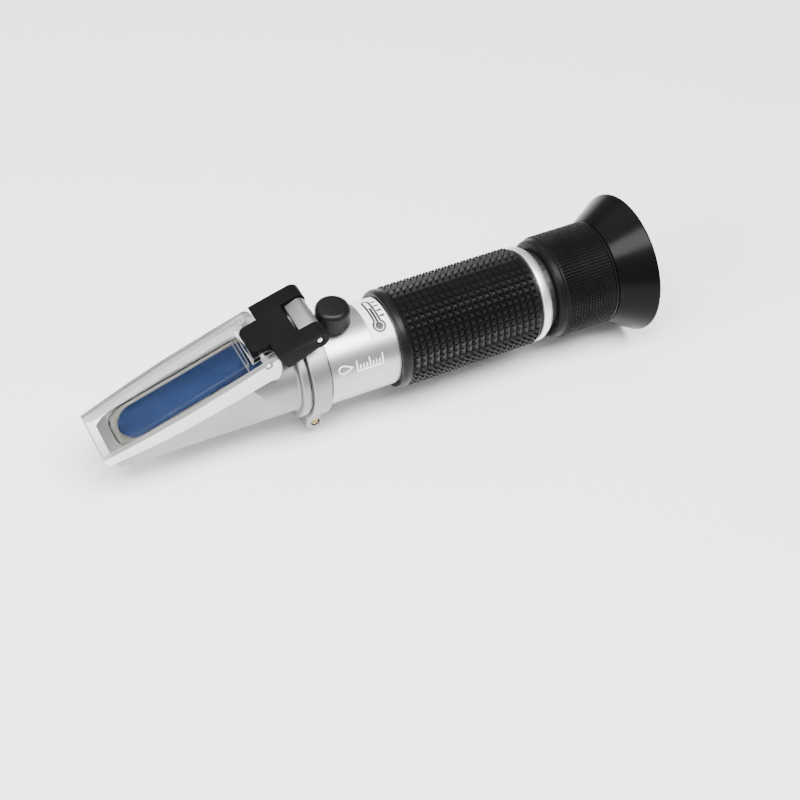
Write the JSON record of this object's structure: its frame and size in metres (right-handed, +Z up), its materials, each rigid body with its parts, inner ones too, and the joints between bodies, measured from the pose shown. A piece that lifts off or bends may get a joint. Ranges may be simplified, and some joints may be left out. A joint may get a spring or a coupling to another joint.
{
  "type": "hand-held refractometer",
  "caption": "Hand-held brix refractometer with a sloping prism, hinged clear daylight plate, calibration screw under a rubber cap, ribbed grip and focusing eyepiece with a flared eyecup.",
  "frame": {"origin": "at mid-length, under the optical axis, on the plane that the eyecup's rim rests on", "axes": "+X along the optical axis towards the eyecup, +Z up, the way the prism faces, and Y along the hinge pin"},
  "size_m": [0.16, 0.04, 0.0416],
  "materials": {
    "satin_casting": "fine bead-blasted satin",
    "satin_tube": "fine bead-blasted satin",
    "steel": "turned",
    "brass": "turned",
    "black_plastic": "fine matt",
    "focus_plastic": "fine knurl",
    "black_rubber": "smooth",
    "grip_rubber": "raised pyramids",
    "eyecup_rubber": "smooth gloss",
    "prism_glass": "polished",
    "clear_acrylic": "clear acrylic, polished",
    "lens_glass": "polished",
    "grey_seal": "matt",
    "white_label": "satin label"
  },
  "bodies": {
    "barrel": {"prism_housing": "satin_casting", "prism": "prism_glass", "prism_gasket": "grey_seal", "aperture_stop": "black_plastic", "head_seal": "black_rubber", "hinge_pin": "steel", "clamp_ring": "satin_casting", "clamp_screw": "brass", "main_tube": "satin_tube", "calibration_bush": "steel", "info_label": "white_label", "grip": "grip_rubber", "carrier_pivot_near": "steel", "carrier_pivot_far": "steel", "bimetal_strip": "brass", "carrier_spring": "steel", "reticle": "lens_glass", "reticle_holder": "black_plastic", "rear_ring": "satin_tube", "eyepiece_barrel": "black_plastic"},
    "cover": {"cover_bracket": "black_plastic", "plate_pin": "steel"},
    "plate": {"daylight_plate": "clear_acrylic"},
    "cap": {"calibration_cap": "black_rubber"},
    "seal": {"screw_seal": "black_rubber"},
    "screw": {"calibration_screw": "brass"},
    "carrier": {"lens_carrier": "black_plastic", "objective_lens": "lens_glass"},
    "lens_group": {"lens_cell": "black_plastic", "field_lens": "lens_glass", "lens_spacer": "black_plastic", "eye_lens": "lens_glass", "lens_lock_ring": "black_plastic"},
    "focus": {"focus_ring": "focus_plastic", "eyecup": "eyecup_rubber"}
  },
  "joints": [
    {"name": "cover_hinge", "type": "hinge", "parent": "barrel", "child": "cover", "pos_m": [-0.02065, 0, 0.039], "axis": [0, 1, 0], "range_deg": [0, 105]},
    {"name": "plate_rock", "type": "hinge", "parent": "cover", "child": "plate", "pos_m": [-0.0346, 0, 0.0348], "axis": [0, 1, 0], "range_deg": [0, 4]},
    {"name": "cap_lift", "type": "slide", "parent": "barrel", "child": "cap", "axis": [0, 0, 1], "range_m": [0, 0.014]},
    {"name": "screw_travel", "type": "slide", "parent": "barrel", "child": "seal", "axis": [0, 0, 1], "range_m": [-0.00025, 0.00025]},
    {"name": "screw_turn", "type": "hinge", "parent": "seal", "child": "screw", "pos_m": [-0.0126, 0, 0.034], "axis": [0, 0, 1], "range_deg": [-183, 183]},
    {"name": "carrier_tilt", "type": "hinge", "parent": "barrel", "child": "carrier", "pos_m": [-0.002, 0, 0.02], "axis": [0, 1, 0], "range_deg": [-1.6, 1.6]},
    {"name": "focus_travel", "type": "slide", "parent": "barrel", "child": "lens_group", "axis": [1, 0, 0], "range_m": [-0.0016, 0.0031]},
    {"name": "focus_turn", "type": "hinge", "parent": "lens_group", "child": "focus", "pos_m": [0.065, 0, 0.02], "axis": [1, 0, 0], "range_deg": [-135, 270]}
  ],
  "couplings": [
    {"joint": "screw_turn", "follows": "screw_travel", "rad_per_m": 12566},
    {"joint": "carrier_tilt", "follows": "screw_travel", "rad_per_m": 94.248},
    {"joint": "focus_travel", "follows": "focus_turn", "m_per_rad": 0.00063662}
  ]
}
